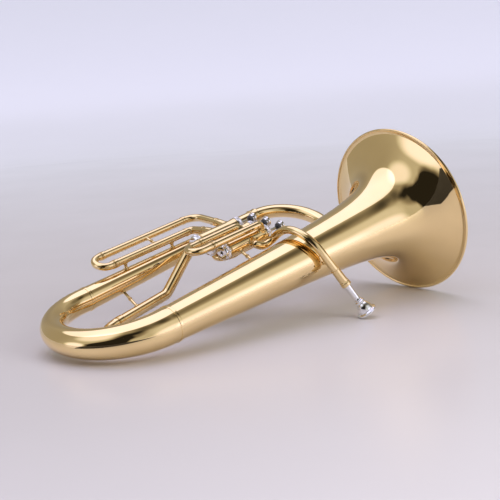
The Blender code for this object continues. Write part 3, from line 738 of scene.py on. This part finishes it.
# Valves.
def port_collar(number, x, way, tube_radius):
    """The soldered collar of a tube that leaves a casing at a height x."""
    centre = VALVE_1 + (number - 1) * VALVE_PITCH + X * x + unit(way) * CASING_RADIUS
    r = tube_radius
    profile = [(r - 0.2, -0.5), (r + 2.0, -0.5), (r + 2.1, 0.05), (r + 1.5, 0.3), (r + 1.0, 0.9),
               (r + 0.8, 1.6), *arc(r + 0.45, 2.4, 0.35, 0, 90, 4), (r - 0.2, 2.75)]
    return lathe(profile, place(centre, way, X), 64, fit=(CASING_RADIUS, 2.6))


def cap_profile(hole):
    """Knurled cap: open end at height 0, crown at CAP_HEIGHT."""
    r, top, lip = CAP_RADIUS, CAP_HEIGHT, CASING_RADIUS + 0.2
    return [(lip, 0.0), (r - 0.7, 0.0), *arc(r - 0.75, 0.45, 0.45, -60, 60, 4), (r - 0.75, 1.0),
            (r - 0.75, 1.3), (r - 0.1, 1.7), (r, 1.9), *[(r, h) for h in np.linspace(2.3, 5.3, 7)],
            (r - 0.1, 5.7), (r - 0.75, 6.1), (r - 0.8, 6.5),
            *arc(r - 3.0, top - 2.3, 2.2, 0, 80, 10), (hole + 1.6, top - 0.1),
            *arc(hole + 0.8, top - 0.3, 0.3, 90, 160, 3), (hole, top - 0.9), (hole, top - 2.0),
            (lip, top - 2.0)]


def build_valve(number):
    name = f"valve_{number}_"
    axis = VALVE_1 + (number - 1) * VALVE_PITCH
    up = place(axis, X)
    down = place(axis, -X)
    r = CASING_RADIUS
    neck = CASING_NECK
    profile = [(r - 0.3, CASING_BOTTOM), (r - 0.3, 166.4), (r + 0.5, 166.4),
               *arc(r + 0.3, 167.0, 0.4, -60, 60, 4), (r + 0.4, 168.6),
               *arc(r + 0.1, 169.2, 0.35, -60, 60, 4), (r, 169.9), (r, 180.0), (r, 200.0),
               (r, 220.0), (r, neck - 0.8), *arc(r + 0.1, neck, 0.35, -60, 60, 4),
               (r + 0.4, neck + 0.6), *arc(r + 0.3, neck + 1.7, 0.4, -60, 60, 4),
               (r - 0.3, neck + 2.4), (r - 0.3, CASING_TOP), (CASING_BORE, CASING_TOP),
               (CASING_BORE, CASING_BOTTOM)]
    piece(name + "casing_shell", [lathe(profile, up, 96)], TUBE_BRASS,
          [f"valve_casing_{number}"])

    crown = CASING_TOP + GAP + CAP_FLOOR
    rims = {"bottom": (CASING_BOTTOM - GAP - CAP_FLOOR + CAP_HEIGHT, down, 2.6),
            "top": (crown - CAP_HEIGHT, up, 2.9)}
    for end, (rim, (_, axes), hole) in rims.items():
        shell = lathe(cap_profile(hole), (axis + X * rim, axes), 288, flutes=48, flute_depth=0.35)
        piece(f"{name}{end}_cap", [shell], SILVER, [f"{end}_cap_{number}"])

    body = f"piston_body_{number}"
    thin, foot, tip = STEM_RADIUS, STEM_FOOT, STEM_TOP
    stem = [(0, tip + 0.3), (thin - 0.3, tip + 0.3), (thin, tip - 0.4), (thin, foot + 5.4),
            *arc(thin + 0.6, foot + 5.4, 0.6, 180, 270, 4), (4.3, foot + 4.8),
            *arc(4.3, foot + 4.5, 0.3, 90, 0, 3), (4.6, foot + 0.3), (4.3, foot), (0, foot)]
    piece(name + "stem_rod", [lathe(stem, up, 40)], NICKEL,
          [f"valve_stem_{number}"], body)
    seat, top, rim = BUTTON_SEAT, BUTTON_SEAT + BUTTON_HEIGHT, BUTTON_RADIUS
    button = [(0, top - 1.7), (rim - 1.5, top - 1.7), (rim - 1.5, top - 0.6),
              *arc(rim - 1.0, top - 0.5, 0.5, 180, 90, 4),
              *arc(rim - 0.6, top - 0.6, 0.6, 90, 0, 6), (rim, seat + 3.6),
              *arc(rim - 0.5, seat + 3.1, 0.5, 0, -70, 4),
              *arc(rim - 0.4, seat + 0.6, 2.1, 95, 175, 8), (rim - 2.6, seat + 0.5),
              (3.6, seat + 0.2), (3.2, seat), (0, seat)]
    piece(name + "button", [lathe(button, up, 72)], SILVER,
          [f"finger_button_{number}"], body)
    inlay = [(0, top - 1.2), (2.0, top - 1.15), (4.0, top - 0.98), (rim - 2.1, top - 0.66),
             *arc(rim - 1.9, top - 0.95, 0.3, 90, 0, 4), (rim - 1.6, top - 1.66), (0, top - 1.66)]
    piece(name + "pearl", [lathe(inlay, up, 64)], PEARL, body=body)
    pad = [(thin + 0.1, seat - 2.2), *arc(5.6, seat - 1.8, 0.4, -90, 0, 4),
           *arc(5.6, seat - 0.5, 0.4, 0, 90, 4), (thin + 0.1, seat - 0.05)]
    piece(name + "button_felt", [lathe(pad, up, 48)], FELT, body=body)
    washer = [(3.1, crown - 0.1), *arc(6.2, crown + 0.4, 0.4, -90, 90, 6), (3.1, crown + 0.8)]
    piece(name + "cap_felt", [lathe(washer, up, 48)], WHITE_FELT)

    low_end, high_end, turns = CASING_BOTTOM + 1.2, 183.0, 5.0
    coil = [axis + vec(lerp(low_end, high_end, share), 6.2 * math.cos(share * turns * 2 * math.pi),
                       6.2 * math.sin(share * turns * 2 * math.pi))
            for share in np.linspace(0, 1, 121)]
    spring = piece(name + "return_spring", [sweep(coil, 0.5, sides=12)], STEEL,
                   [f"valve_spring_{number}"])
    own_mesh(spring)


def build_valve_links():
    way = unit(VALVE_PITCH)
    length = float(np.linalg.norm(VALVE_PITCH))
    for number in (1, 2):
        axis = VALVE_1 + (number - 1) * VALVE_PITCH + X * LINK_X
        points = [axis + way * (CASING_RADIUS - 0.6), axis + way * length / 2,
                  axis + way * (length - CASING_RADIUS + 0.6)]
        shells = [sweep(points, PORT_RADIUS, TUBE_WALL, 48),
                  port_collar(number, LINK_X, way, PORT_RADIUS),
                  port_collar(number + 1, LINK_X, -way, PORT_RADIUS)]
        name = f"valve_link_{number}_{number + 1}"
        piece(name + "_tube", shells, TUBE_BRASS, [name])


def build_valve_slide(number):
    plan = SLIDES[number]
    axis = VALVE_1 + (number - 1) * VALVE_PITCH
    ends = []
    for label in ("upper", "lower"):
        corners = [vec(*corner) for corner in plan[label]]
        foot = axis + X * corners[-1][0]
        way = unit(corners[-1] - foot)
        bends = [SLIDE_BEND] * (len(corners) - 1)
        if label == "upper":
            bends[0] = plan.get("first_bend", SLIDE_BEND)
        points = rounded_path([*corners, foot + way * (CASING_RADIUS - 0.8)], bends)
        shells = [sweep(points, SLIDE_TUBE, SLIDE_WALL, 48),
                  port_collar(number, corners[-1][0], way, SLIDE_TUBE),
                  mouth_sleeve(corners[0], -X, SLIDE_TUBE, 7.0, 0.6)]
        if number == 3:
            shells += elbow_rings(corners, bends, SLIDE_TUBE)
        piece(f"valve_{number}_{label}_pipe", shells, TUBE_BRASS,
              [f"valve_{number}_{label}_tube"])
        ends.append(corners[0])
    body = f"valve_slide_body_{number}"
    lead = min(5.0, plan["upper"][0][0] - plan["bend_x"])
    bend = half_circle(*(vec(plan["bend_x"], *end[1:]) for end in ends), -X, 64)
    points = [ends[0] - X * 1.0, *bend, ends[1] - X * 1.0]
    shells = [sweep(points, SLIDE_CROOK, SLIDE_WALL, 48)]
    shells += [crook_sleeve(end, -X, SLIDE_CROOK - 0.1, max(3.4, lead)) for end in ends]
    piece(f"valve_{number}_slide_crook", shells, TUBE_BRASS, [f"valve_{number}_slide"], body)
    legs = [sweep([end + X * plan["engaged"], end + X * plan["engaged"] / 2, end - X * 3.0],
                  SLIDE_INNER, 0.6, 40) for end in ends]
    piece(f"valve_{number}_slide_inner_tubes", legs, INNER_SLIDE, body=body)


def elbow_rings(corners, bends, radius):
    """Bands where the bent elbow of an outer tube is soldered to its straight runs."""
    shells = []
    for before, corner, bend in zip(corners[:-1], corners[1:], bends):
        way = unit(before - corner)
        centre = corner + way * (bend + 2.5)
        shells.append(band(radius + 0.55, -2.6, 2.6, radius - 0.2, centre, way, 48, 0.35))
    return shells


# Leadpipe and mouthpiece.
def wrap_point(angle):
    """Centre of the leadpipe where it runs round the bell tube."""
    turn = math.radians(angle)
    climb = max(0.0, (angle - WRAP_SIDE) / (WRAP_END - WRAP_SIDE))
    return vec(WRAP_X + WRAP_CLIMB * climb ** 2, WRAP_RADIUS * math.cos(turn),
               WRAP_RADIUS * math.sin(turn))


PIPE_ORIGIN = wrap_point(WRAP_END)
PIPE_WAY = unit(vec(285, -80, -84) - PIPE_ORIGIN)


def build_leadpipe():
    outlet = vec(LEADPIPE_X, 47.5, 29.8)
    axis = VALVE_1 + X * LEADPIPE_X
    way = unit(outlet - axis)
    start = axis + way * (CASING_RADIUS - 0.8)
    knots = [start, lerp(start, outlet, 0.55), outlet, vec(215, 44.2, 25.4), vec(224, 43.2, 25),
             vec(232.5, 38.5, 30)]
    knots += [wrap_point(angle) for angle in (56, 78, 100, 122, 142, WRAP_END)]
    knots += [PIPE_ORIGIN + PIPE_WAY * 14, PIPE_ORIGIN + PIPE_WAY * 42]
    points = smooth_path(knots, 8)
    radii = [LEADPIPE_RADIUS - LEADPIPE_TAPER * share for share in shares_along(points)]
    shells = [sweep(points, radii, 0.7, 48), port_collar(1, LEADPIPE_X, way, LEADPIPE_RADIUS)]
    piece("leadpipe_tube", shells, TUBE_BRASS, ["leadpipe"])
    r, skin = RECEIVER_RADIUS, LEADPIPE_RADIUS - LEADPIPE_TAPER
    profile = [(skin, 30.2), *arc(skin + 0.5, 31.0, 0.7, -60, 60, 5), (skin + 0.7, 32.6),
               (r - 1.1, 36.5), (r - 1.0, 38.0), (r - 0.9, 51.8),
               *arc(r - 0.8, 52.6, 0.5, -70, 70, 5), (r - 0.5, 54.6),
               *arc(r - 0.5, 55.6, 0.6, -60, 0, 4), (r + 0.1, 57.0),
               *arc(r - 0.4, 59.2, 0.6, 0, 90, 5), (skin + 0.3, 59.8), (skin + 0.1, 58.8)]
    piece("receiver_sleeve", [lathe(profile, place(PIPE_ORIGIN, PIPE_WAY), 72)], CAST_BRASS,
          ["mouthpiece_receiver"])


def smooth_profile(knots):
    points = smooth_path([vec(radius, height, 0) for radius, height in knots], 4)
    return [(point[0], point[1]) for point in points]


def build_mouthpiece():
    """Cup mouthpiece turned about the line from its rim centre towards the shank."""
    centre = PIPE_ORIGIN + PIPE_WAY * MOUTHPIECE_REACH
    outside = [(14.9, 1.7), (14.75, 2.7), (13.9, 3.6), (12.3, 4.3), (11.6, 5.2), (11.5, 6.6),
               (11.1, 9.0), (10.2, 11.8), (8.8, 14.4), (7.2, 16.4), (5.9, 17.8), (5.6, 18.8)]
    beads = [*arc(5.9, 20.6, 1.7, -70, 70, 12), (5.3, 22.9), *arc(5.2, 23.8, 0.6, -70, 70, 6),
             (4.7, 24.9), (4.35, 28.0), (4.2, 32.0), (4.3, 36.0), (4.7, 43.0), (5.2, 51.5),
             (4.95, 66.2), (4.7, 66.9), (4.2, 66.9)]
    rim = [(11.4, 2.4), (11.8, 1.0), (12.4, 0.25), (13.2, 0.0), (14.1, 0.25), (14.7, 0.9)]
    cup = [(4.0, 64.0), (3.6, 50.0), (3.1, 30.0), (2.9, 24.0), (3.0, 19.6), (3.8, 17.4),
           (6.0, 14.6), (8.2, 11.4), (9.8, 7.4), (10.9, 3.6)]
    profile = [*smooth_profile(rim), *smooth_profile(outside), *beads, *smooth_profile(cup)]
    piece("mouthpiece_turned", [lathe(profile, place(centre, -PIPE_WAY), 120)], SILVER,
          ["mouthpiece"], "mouthpiece_body", sharp=50.0)


# Braces.
def brace(name, start, end, bar, foot, low_tube, high_tube):
    """A turned post whose two feet are shaped to the tubes that they stand on.

    low_tube and high_tube are (radius, axis direction) of those tubes.
    """
    length = float(np.linalg.norm(end - start))
    way = unit(end - start)
    shells = []
    for origin, direction, (radius, axis) in ((start, way, low_tube), (end, -way, high_tube)):
        reach = min(2.6, length * 0.3)
        profile = [(0, -0.3), (foot, -0.3), (foot, 0.35), *arc(foot - 0.35, 0.45, 0.35, 0, 80, 4),
                   (lerp(foot, bar, 0.62), 0.95), (bar + 0.5, 1.5), (bar, min(2.6, length / 2)),
                   (bar, length / 2), (0, length / 2)]
        shells.append(lathe(profile, place(origin, direction, axis), 48, fit=(radius, reach)))
    if length > 14:
        middle = (start + end) / 2
        knob = [(bar - 0.3, -2.2), *arc(bar, -1.6, 0.5, -80, 60, 5),
                *arc(bar, 0.0, 1.0, -60, 60, 8), *arc(bar, 1.6, 0.5, -60, 80, 5),
                (bar - 0.3, 2.2)]
        shells.append(lathe(knob, place(middle, way), 40))
    piece(name + "_post", shells, CAST_BRASS, [name])


def branch_at(x):
    """Centre and radius of the return branch at a distance along the horn."""
    share = x / TOP_BOW_OUTER_END[0]
    return (vec(x, lerp(190, 188, share), lerp(0, 10, share)),
            lerp(BOW_TUBE_RETURN, TOP_BOW_TUBE, share))


def bell_spot(point):
    """The foot of a brace on the bell tube below a point, the way out of it, and that tube."""
    out = unit(point * vec(0, 1, 1))
    radius = bell_radius(point[0])
    return X * point[0] + out * radius, out, (radius, X)


def build_braces():
    valve = VALVE_1 + X * 184
    foot, out, tube = bell_spot(valve)
    brace("valve_to_bell_brace", foot, valve - out * CASING_RADIUS, 2.2, 5.0, tube,
          (CASING_RADIUS, X))
    for name, x in (("third_slide_brace_lower", 76.0), ("third_slide_brace_upper", 165.0)):
        centre, radius = branch_at(x)
        top = vec(x, 190, 32) - Z * SLIDE_TUBE
        brace(name, vec(x, 189.6, centre[2] + radius), top, 2.4, 4.2, (radius, X), (SLIDE_TUBE, X))
    low, high = vec(140, 190, 32), vec(140, 219, 39.6)
    way = unit(high - low)
    brace("third_slide_tie", low + way * SLIDE_TUBE, high - way * SLIDE_TUBE, 1.8, 3.4,
          (SLIDE_TUBE, X), (SLIDE_TUBE, X))
    leg = lerp(MAIN_LEG_TOP, MAIN_LEG_END, 0.55)
    centre, radius = branch_at(leg[0])
    way = unit((centre - leg) * vec(0, 1, 1))
    brace("main_slide_brace", leg + way * MAIN_TUBE, centre - way * radius, 2.2, 4.4,
          (MAIN_TUBE, MAIN_WAY), (radius, X))
    leg = vec(262, 61.5, -30.5)
    foot, out, tube = bell_spot(leg)
    brace("return_leg_brace", foot, leg - out * 9.9, 2.4, 4.6, tube, (10.2, X))
    pipe = PIPE_ORIGIN + PIPE_WAY * 22
    foot, out, tube = bell_spot(pipe)
    brace("leadpipe_brace", foot, pipe - out * (LEADPIPE_RADIUS - 0.4), 1.6, 3.2, tube,
          (LEADPIPE_RADIUS, PIPE_WAY))


build_bell()
build_bottom_bow()
build_return_and_top_bow()
build_main_tubes()
build_main_slide()
build_water_key()
for valve in (1, 2, 3):
    build_valve(valve)
    build_valve_slide(valve)
    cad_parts[f"piston_{valve}"].data.materials.clear()
    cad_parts[f"piston_{valve}"].data.materials.append(NICKEL)
build_valve_links()
build_leadpipe()
build_mouthpiece()
build_braces()


# Studio.
FLOOR_REACH = 2.5
WALL_HEIGHT = 7.0
# Azimuth range in degrees, then reach and height in metres, of the near-black sheet that paints a
# dark reflection into the metal.
REFLECTION_SHEET_AZIMUTHS = (-186, -120, 6)
REFLECTION_SHEET_REACH = (0.37, 2.6)
REFLECTION_SHEET_HEIGHT = 0.003
PAPER = (0.665, 0.63, 0.63)
FAR_GLOW = (0.235, 0.265, 0.335)
GLOW_REACH = (0.4, 2.6)
BASE_LIGHT = 0.56
LEAST_LIGHT = 0.02
BRIGHTEST = 1.5
# Shade is warm and bright light is cool: the tint at shares of the brightest light.
LIGHT_TINTS = ((0.15, (1.0, 0.90, 0.74)), (0.37, (1.0, 0.98, 0.91)), (0.55, (1.0, 1.0, 1.05)),
               (0.95, (1.0, 0.96, 1.28)))
# Azimuth and elevation of each patch of studio light or shade, the angles where it is
# full and where it ends, all in degrees, and how much it adds.
LIGHT_PATCHES = (
    (88, 73, 31, 34, 0.87), (172, 50, 12, 26, 0.50), (160, 3, 8, 18, 0.75),
    (-72, 20, 12, 30, 0.20), (-70, -6, 14, 32, 0.52), (-44, 6, 8, 20, 0.50),
    (-153, 2, 20, 30, -0.62), (-172, 4, 10, 18, -0.45), (-141, 20, 10, 22, -0.30),
    (-130, 32, 10, 26, -0.36), (-128, 54, 8, 26, -0.22), (-92, 60, 6, 24, -0.24),
    (-58, 58, 6, 22, -0.26), (-30, 50, 6, 18, -0.16), (-22, 36, 10, 30, -0.20),
    (-20, 0, 10, 40, -0.20), (40, 10, 15, 50, -0.22), (110, 20, 15, 50, -0.18),
)


def looking(azimuth, elevation):
    """Unit vector towards an azimuth and an elevation in degrees."""
    azimuth, elevation = math.radians(azimuth), math.radians(elevation)
    return Vector((math.cos(azimuth) * math.cos(elevation),
                   math.sin(azimuth) * math.cos(elevation), math.sin(elevation)))


def paper(name):
    """Pale paper that glows softly far from the horn, as a lit backdrop does."""
    recipe = Recipe(name, 0.0, 0.25, Specular_IOR_Level=0.4, Emission_Strength=1.0)
    mottle = recipe.noise(3.0)
    recipe.colour(mottle, [(0.3, shade(PAPER, 0.985)), (0.7, PAPER)])
    recipe.roughness(mottle, 0.3, 0.7, 0.22, 0.27)
    distance = add_node(recipe.tree, "ShaderNodeVectorMath", {0: recipe.place})
    distance.operation = "LENGTH"
    far = recipe.span(distance.outputs["Value"], *GLOW_REACH, 0.0, 1.0)
    glow = colour_ramp(recipe.tree, far, [(0.0, (0.0, 0.0, 0.0)), (1.0, FAR_GLOW)])
    recipe.feed("Emission Color", glow)
    return recipe.material


def sheet(name, profile):
    """A surface turned about the vertical, in metres."""
    points, faces = lathe(profile, (np.zeros(3), np.eye(3)), 128, closed=False)
    mesh = new_mesh(name, points.tolist(), faces, paper(name))
    mesh.shade_smooth()
    obj = add_object(name, mesh)
    return obj


def build_floor():
    """A pale paper floor that sweeps up into a wall far from the horn."""
    sheet("studio_floor", [(0.0, 0.0), (0.6, 0.0), (1.4, 0.0), (FLOOR_REACH, 0.0)])
    curve = arc(FLOOR_REACH, 2.0, 2.0, -90, 0, 24)
    wall = sheet("studio_wall", [*curve, (FLOOR_REACH + 2.0, WALL_HEIGHT)])
    wall.visible_glossy = False
    wall.visible_diffuse = False
    wall.visible_shadow = False


def build_painted_reflection_sheet():
    """A near-black sheet in front of the bottom bow, seen only mirrored: it paints a dark
    reflection into the metal's under sides.

    The sheet has no under side, so the glossy floor below doesn't mirror it.
    """
    spokes = [looking(azimuth, 0) for azimuth in range(*REFLECTION_SHEET_AZIMUTHS)]
    points = [spoke * reach for reach in REFLECTION_SHEET_REACH for spoke in spokes]
    count = len(spokes)
    faces = [(index, index + count, index + count + 1, index + 1) for index in range(count - 1)]
    points = [(point.x, point.y, REFLECTION_SHEET_HEIGHT) for point in points]
    # Near black, and hidden from the camera, diffuse rays and shadows: the sheet is only a painted
    # dark reflection.
    recipe = Recipe("painted_reflection_sheet", 0.0, 0.9)
    recipe.colour(recipe.noise(4.0), [(0.3, (0.01, 0.01, 0.01)), (0.7, (0.02, 0.02, 0.02))])
    nodes = recipe.tree.nodes
    one_sided = add_node(recipe.tree, "ShaderNodeMixShader", {
        "Fac": nodes.new("ShaderNodeNewGeometry").outputs["Backfacing"],
        1: recipe.shader.outputs["BSDF"],
        2: nodes.new("ShaderNodeBsdfTransparent").outputs["BSDF"]})
    recipe.tree.links.new(one_sided.outputs["Shader"], nodes["Material Output"].inputs["Surface"])
    edge = add_object("painted_reflection_sheet", new_mesh("painted_reflection_sheet", points, faces, recipe.material))
    edge.visible_camera = False
    edge.visible_diffuse = False
    edge.visible_shadow = False


def softbox(name, azimuth, elevation, distance, size, power, aim=(0.0, 0.0, 0.0)):
    """A soft lamp that lights the floor and isn't mirrored in the metal."""
    look = looking(azimuth, elevation)
    light = bpy.data.lights.new(name, "AREA")
    light.size = size
    light.energy = power
    lamp = add_object(name, light)
    lamp.location = Vector(aim) + look * distance
    lamp.rotation_euler = look.to_track_quat("Z", "Y").to_euler()
    lamp.visible_glossy = False


def build_world():
    """Soft studio light as smooth patches round the sky."""
    world = bpy.data.worlds.new("studio")
    scene.world = world
    world.use_nodes = True
    tree = world.node_tree
    way = tree.nodes.new("ShaderNodeTexCoord").outputs["Generated"]
    total = tree.nodes.new("ShaderNodeValue").outputs["Value"]
    total.default_value = BASE_LIGHT
    for azimuth, elevation, full, end, strength in LIGHT_PATCHES:
        dot = add_node(tree, "ShaderNodeVectorMath", {0: way})
        dot.operation = "DOT_PRODUCT"
        dot.inputs[1].default_value = looking(azimuth, elevation)
        patch = map_range(tree, dot.outputs["Value"], math.cos(math.radians(end)),
                          math.cos(math.radians(full)), 0.0, strength)
        patch.interpolation_type = "SMOOTHSTEP"
        total = add_up(tree, patch.outputs["Result"], total)
    least = add_node(tree, "ShaderNodeMath", {0: total})
    least.operation = "MAXIMUM"
    least.inputs[1].default_value = LEAST_LIGHT
    strength = least.outputs["Value"]
    share = map_range(tree, strength, 0.0, BRIGHTEST, 0.0, 1.0).outputs["Result"]
    glow = tree.nodes["Background"]
    tree.links.new(colour_ramp(tree, share, LIGHT_TINTS), glow.inputs["Color"])
    tree.links.new(strength, glow.inputs["Strength"])


def build_studio():
    build_floor()
    build_painted_reflection_sheet()
    softbox("key_softbox", 75, 70, 2.4, 1.8, 9.0)
    softbox("fill_softbox", -110, 55, 2.6, 1.6, 8.0)
    softbox("front_softbox", -90, 75, 1.1, 1.0, 15.0, (0.3, -1.4, 0.0))
    build_world()


# The photograph's camera in the design frame.
CAMERA_SPOT = Vector((-856.0, -1208.9, 611.7)) * MM
CAMERA_RIGHT = Vector((0.719, -0.6763, -0.1603))
CAMERA_AHEAD = Vector((0.6042, 0.7221, -0.3369))
CAMERA_LENS = 87.39


def build_camera():
    """The photograph's view: fitted in the design frame and laid down with the horn."""
    right = CAMERA_RIGHT.normalized()
    ahead = (CAMERA_AHEAD - right * CAMERA_AHEAD.dot(right)).normalized()
    upward = right.cross(ahead)
    axes = Matrix((right, upward, -ahead)).transposed()
    camera = bpy.data.cameras.new("photo_camera")
    camera.sensor_width = 36.0
    camera.lens = CAMERA_LENS
    eye = add_object("photo_camera", camera)
    eye.matrix_world = (Matrix.Translation(REST_TURN @ CAMERA_SPOT + REST_SHIFT)
                        @ (REST_TURN @ axes).to_4x4())
    scene.camera = eye


build_studio()
build_camera()
scene.view_settings.view_transform = "Standard"

bpy.context.view_layer.update()
